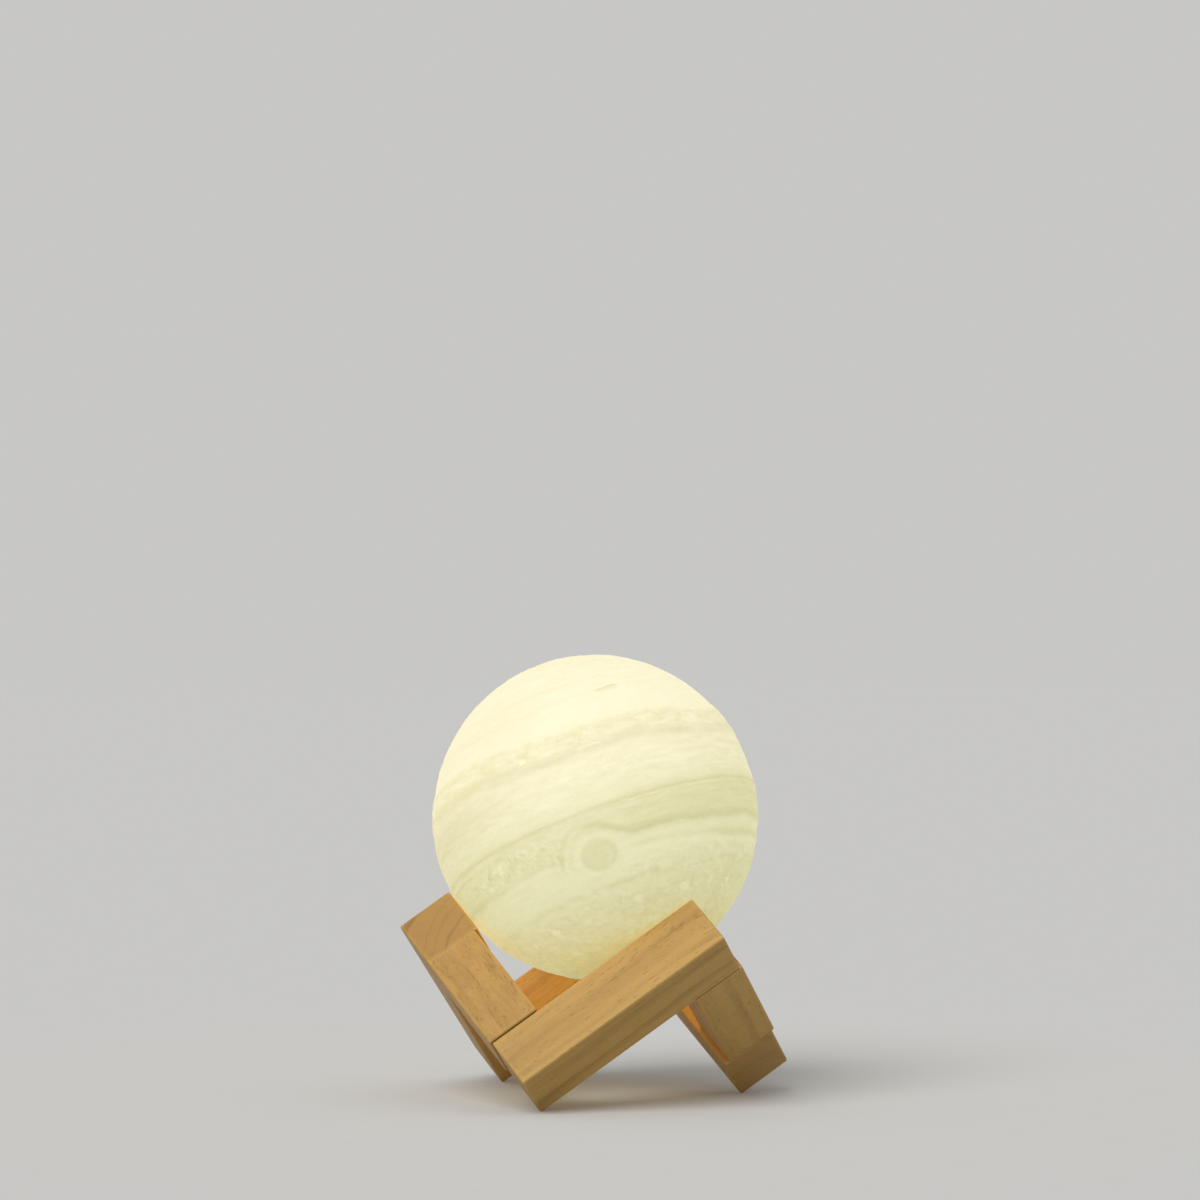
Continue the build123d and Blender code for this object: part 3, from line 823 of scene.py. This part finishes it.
class NIGHTLIGHT_OT_stand(bpy.types.Operator):
    """Gives every wooden piece of the stand its own cut of wood"""

    bl_idname = "nightlight.stand"
    bl_label = "Dress the stand"

    def execute(self, context):
        settings = context.scene.nightlight_stand
        for bar, block, angle, pith, tint, bar_cut, block_cut in CUTS:
            turn = Matrix.Rotation(radians(angle), 3, "Z")
            along, inward, up_face = turn @ ALONG, turn @ INWARD, turn @ UP_FACE
            wood = Wood(bar + "_wood", settings, along, inward, pith, tint)
            dress(bar, wood.finish(*bar_cut, bar))
            pith = (pith[1] * 3, pith[2] * 0.7, -pith[0] - 24)
            wood = Wood(block + "_wood", settings, up_face, along, pith, tint)
            dress(block, wood.finish(*block_cut, block))
        pegs = Wood("peg_wood", settings, (0, 0, 1), (1, 0, 0), PEG_PITH, PEG_TINT).finish()
        dress("glued_pegs", pegs)
        dress("joint_pegs", pegs)
        return {"FINISHED"}


# Light core

# Nodes, material, colour or the setting that holds it, size of the grain in mm, spread of the
# colour, roughness, metallic, and height of the relief in mm
FINISHES = (
    ("base_cap", "cap_plastic", "plastic", 1.2, 0.03, 0.34, 0.0, 0.03),
    ("core_housing", "housing_plastic", "plastic", 1.0, 0.04, 0.5, 0.0, 0.02),
    ("touch_ring", "ring_chrome", "ring", 2.5, 0.05, 0.16, 1.0, 0.004),
    ("touch_lead", "lead_white", (0.75, 0.75, 0.72), 0.5, 0.05, 0.4, 0.0, 0.02),
    ("charging_socket", "socket_plastic", (0.025, 0.025, 0.027), 0.6, 0.3, 0.48, 0.0, 0.02),
    ("socket_pin", "pin_brass", (0.80, 0.62, 0.30), 0.5, 0.08, 0.25, 1.0, 0.005),
    ("light_pipe", "clear_rod", (0.90, 0.93, 0.92), 1.0, 0.03, 0.12, 0.0, 0.004),
    ("indicator_led", "indicator_resin", (0.80, 0.82, 0.62), 0.4, 0.05, 0.3, 0.0, 0.02),
    ("touch_chip charge_chip", "chip_black", (0.03, 0.03, 0.033), 0.3, 0.3, 0.55, 0.0, 0.02),
    ("boost_coil", "coil_ferrite", (0.09, 0.09, 0.095), 0.3, 0.25, 0.7, 0.0, 0.05),
    ("resistors", "resistor_black", (0.02, 0.02, 0.024), 0.2, 0.3, 0.4, 0.0, 0.02),
    ("capacitors", "capacitor_ceramic", (0.42, 0.27, 0.15), 0.2, 0.12, 0.42, 0.0, 0.02),
    ("control_board_screws led_board_screws",
     "screw_steel", (0.56, 0.56, 0.58), 0.4, 0.10, 0.3, 1.0, 0.01),
    ("lithium_cell", "cell_foil", (0.66, 0.67, 0.69), 5.0, 0.07, 0.36, 0.85, 0.05),
    ("foam_pads", "pad_foam", (0.70, 0.70, 0.68), 0.4, 0.12, 0.85, 0.0, 0.12),
    ("cell_lead_red led_lead_red", "lead_red", (0.55, 0.02, 0.015), 0.6, 0.06, 0.38, 0.0, 0.02),
    ("cell_lead_black led_lead_black", "lead_black", (0.02, 0.02, 0.02), 0.6, 0.1, 0.38, 0.0, 0.02),
    ("led_board", "board_aluminium", (0.84, 0.84, 0.81), 0.8, 0.03, 0.36, 0.0, 0.02),
)
BOARD_LACQUER = (0.8, 0.12, 0.3, 0.0, 0.02)
LED_COLOUR = (0.90, 0.74, 0.30)
LED_RESIN = (0.5, 0.06, 0.4, 0.0, 0.02)
LED_LIGHT = (1.0, 0.82, 0.50, 1)


def plain_surface(name, colour, grain, spread, roughness, metallic, relief):
    """Moulded, cast or plated stuff with a fine unevenness, described as in the table above."""
    surface = Surface(name)
    own = surface.mapped(IN_MM / grain)
    cloud = surface.noise(own, 0.22, 3, 0.55)
    fine = surface.noise(own, 2.4, 2)
    mixed = surface.weighted(0.0, (cloud, 0.6), (fine, 0.4))
    surface.set(
        Base_Color=surface.mix(mixed, rgb(colour, 1 + spread), rgb(colour, 1 - spread)),
        Roughness=surface.range(mixed, 0.3, 0.7, roughness - 0.06, roughness + 0.08),
        Metallic=metallic,
        Normal=surface.bump(fine, relief * MM),
    )
    return surface


class NIGHTLIGHT_OT_core(bpy.types.Operator):
    """Finishes the cap, the touch ring, the socket and everything inside the light core"""

    bl_idname = "nightlight.core"
    bl_label = "Dress the light core"

    def execute(self, context):
        settings = context.scene.nightlight_core
        for nodes, name, colour, *finish in FINISHES:
            if isinstance(colour, str):
                colour = getattr(settings, colour)
            surface = plain_surface(name, colour, *finish)
            for node in nodes.split():
                dress(node, surface)
        dress("control_board", self.board_surface(settings.board))
        dress("leds", self.led_surface())
        return {"FINISHED"}

    def board_surface(self, colour):
        """Green lacquer over fine copper tracks."""
        surface = plain_surface("board_green", colour, *BOARD_LACQUER)
        tracks = surface.add("ShaderNodeTexBrick", offset=0.37, squash=1.0)
        values = {"Vector": surface.mapped(IN_MM, (0.3, 0.2, 0.6)), "Scale": 0.45}
        values["Mortar Size"] = 0.06
        values["Color1"] = values["Color2"] = rgb(colour)
        values["Mortar"] = rgb(colour, 1.7)
        surface.set(Base_Color=surface.feed(tracks, values).outputs["Color"])
        return surface

    def led_surface(self):
        """Yellow phosphor that shines."""
        surface = plain_surface("led_resin", LED_COLOUR, *LED_RESIN)
        surface.set(Emission_Color=LED_LIGHT, Emission_Strength=1.0)
        return surface


# Studio

FLOOR_RADIUS = 6.0
KEY_FROM = Vector((-0.62, -0.66, 1.0)).normalized()
KEY_SPREAD = 40  # degrees
GLOW_COLOUR = (1.0, 0.56, 0.20)
GLOW_RADIUS = 45 * MM

# The camera as fitted to the stand's corners and the globe's circle, its angles in degrees
CAMERA_PLACE = (-0.20912, -1.31938, 0.15460)
CAMERA_AZIMUTH, CAMERA_RISE, CAMERA_ROLL = -9.031, 0.079, 0.263
SENSOR_WIDTH = 36.0  # mm


class NIGHTLIGHT_OT_studio(bpy.types.Operator):
    """Sets up the pale floor, the soft light, the globe's warm light and the camera"""

    bl_idname = "nightlight.studio"
    bl_label = "Set up the studio"

    def execute(self, context):
        settings = context.scene.nightlight_stage
        self.floor(settings)
        self.world(context.scene, settings)
        self.sun(settings)
        self.glow(settings)
        self.camera(context.scene, settings)
        context.scene.view_settings.view_transform = "Standard"
        return {"FINISHED"}

    def floor(self, settings):
        """A wide pale floor that is seen from above only."""
        deselect()
        bpy.ops.mesh.primitive_circle_add(
            vertices=96, radius=FLOOR_RADIUS, fill_type="NGON", location=(0, 0, 0)
        )
        floor = bpy.context.object
        floor.name = floor.data.name = "floor"
        surface = Surface("floor_paint")
        fine = surface.noise(surface.mapped(60.0), 1.0, 3)
        surface.set(
            Base_Color=surface.mix(fine, rgb(settings.floor, 1.01), rgb(settings.floor, 0.99)),
            Roughness=0.9,
            Specular_IOR_Level=0.1,
        )
        clear = surface.add("ShaderNodeBsdfTransparent").outputs["BSDF"]
        below = surface.add("ShaderNodeNewGeometry").outputs["Backfacing"]
        either = surface.add("ShaderNodeMixShader")
        surface.feed(either, {0: below, 1: surface.shader.outputs["BSDF"], 2: clear})
        surface.tree.links.new(either.outputs["Shader"], surface.output)
        floor.data.materials.append(surface.material)

    def world(self, scene, settings):
        """Even light all round, with the floor's colour behind the object."""
        world = bpy.data.worlds.new("studio_light")
        world.use_nodes = True
        scene.world = world
        tree = world.node_tree
        tree.nodes.clear()
        light = tree.nodes.new("ShaderNodeBackground")
        light.inputs["Color"].default_value = (1.0, 1.0, 1.0, 1)
        light.inputs["Strength"].default_value = settings.sky
        backdrop = tree.nodes.new("ShaderNodeBackground")
        backdrop.inputs["Color"].default_value = rgb(settings.floor)
        backdrop.inputs["Strength"].default_value = settings.sky + settings.key * KEY_FROM.z / pi
        rays = tree.nodes.new("ShaderNodeLightPath")
        seen = rays.outputs["Is Camera Ray"]
        for name in ("Is Glossy Ray", "Is Transmission Ray"):
            more = tree.nodes.new("ShaderNodeMath")
            more.operation = "MAXIMUM"
            tree.links.new(seen, more.inputs[0])
            tree.links.new(rays.outputs[name], more.inputs[1])
            seen = more.outputs[0]
        either = tree.nodes.new("ShaderNodeMixShader")
        output = tree.nodes.new("ShaderNodeOutputWorld")
        tree.links.new(seen, either.inputs[0])
        tree.links.new(light.outputs["Background"], either.inputs[1])
        tree.links.new(backdrop.outputs["Background"], either.inputs[2])
        tree.links.new(either.outputs["Shader"], output.inputs["Surface"])

    def sun(self, settings):
        """A broad soft key from the upper left front, which lights the whole floor evenly."""
        deselect()
        bpy.ops.object.light_add(type="SUN")
        lamp = bpy.context.object
        lamp.name = lamp.data.name = "key_lamp"
        lamp.data.energy = settings.key
        lamp.data.angle = radians(KEY_SPREAD)
        lamp.rotation_euler = KEY_FROM.to_track_quat("Z", "Y").to_euler()

    def glow(self, settings):
        """The globe's warm light on the wood that holds it."""
        deselect()
        bpy.ops.object.light_add(type="POINT", location=GLOBE_PLACE)
        lamp = bpy.context.object
        lamp.name = lamp.data.name = "glow_lamp"
        lamp.data.energy = settings.glow
        lamp.data.color = GLOW_COLOUR
        lamp.data.shadow_soft_size = GLOW_RADIUS
        lamp.visible_camera = lamp.visible_glossy = False
        wood = bpy.data.collections.new("lit_wood")
        for bar, block, *_ in CUTS:
            wood.objects.link(frame["nodes"][bar])
            wood.objects.link(frame["nodes"][block])
        lamp.light_linking.receiver_collection = wood
        lamp.light_linking.blocker_collection = wood
        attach(lamp, "globe")

    def camera(self, scene, settings):
        """The camera at the photograph's angle."""
        deselect()
        bpy.ops.object.camera_add()
        camera = bpy.context.object
        camera.name = camera.data.name = "camera"
        camera.data.lens = settings.lens
        camera.data.sensor_width = SENSOR_WIDTH
        camera.data.clip_start, camera.data.clip_end = 0.01, 100.0
        azimuth, rise, roll = radians(CAMERA_AZIMUTH), radians(CAMERA_RISE), radians(CAMERA_ROLL)
        back = Vector((sin(azimuth) * cos(rise), -cos(azimuth) * cos(rise), sin(rise)))
        right = Vector((cos(azimuth), sin(azimuth), 0))
        up = back.cross(right)
        right, up = cos(roll) * right + sin(roll) * up, cos(roll) * up - sin(roll) * right
        turn = Matrix((right, up, back)).transposed().to_4x4()
        camera.matrix_world = Matrix.Translation(CAMERA_PLACE) @ turn
        scene.camera = camera


class NIGHTLIGHT_PT_panel(bpy.types.Panel):
    """Settings and steps of the night light"""

    bl_idname = "NIGHTLIGHT_PT_panel"
    bl_label = "Night Light"
    bl_space_type = "VIEW_3D"
    bl_region_type = "UI"
    bl_category = "Night Light"

    def draw(self, context):
        scene = context.scene
        for group, operator in STEPS:
            box = self.layout.box()
            settings = getattr(scene, group)
            for name in settings.__annotations__:
                box.prop(settings, name)
            box.operator(operator)


STEPS = (
    ("nightlight_globe", "nightlight.globe"),
    ("nightlight_stand", "nightlight.stand"),
    ("nightlight_core", "nightlight.core"),
    ("nightlight_stage", "nightlight.studio"),
)
GROUPS = (GlobeSettings, StandSettings, CoreSettings, StageSettings)
CLASSES = GROUPS + (
    NIGHTLIGHT_OT_globe,
    NIGHTLIGHT_OT_stand,
    NIGHTLIGHT_OT_core,
    NIGHTLIGHT_OT_studio,
    NIGHTLIGHT_PT_panel,
)


def register():
    for item in CLASSES:
        bpy.utils.register_class(item)
    for (name, _), group in zip(STEPS, GROUPS):
        setattr(bpy.types.Scene, name, bpy.props.PointerProperty(type=group))


def unregister():
    for name, _ in STEPS:
        delattr(bpy.types.Scene, name)
    for item in reversed(CLASSES):
        bpy.utils.unregister_class(item)


def main():
    register()
    bpy.ops.nightlight.globe()
    bpy.ops.nightlight.stand()
    bpy.ops.nightlight.core()
    bpy.ops.nightlight.studio()


if __name__ == "__main__":
    main()
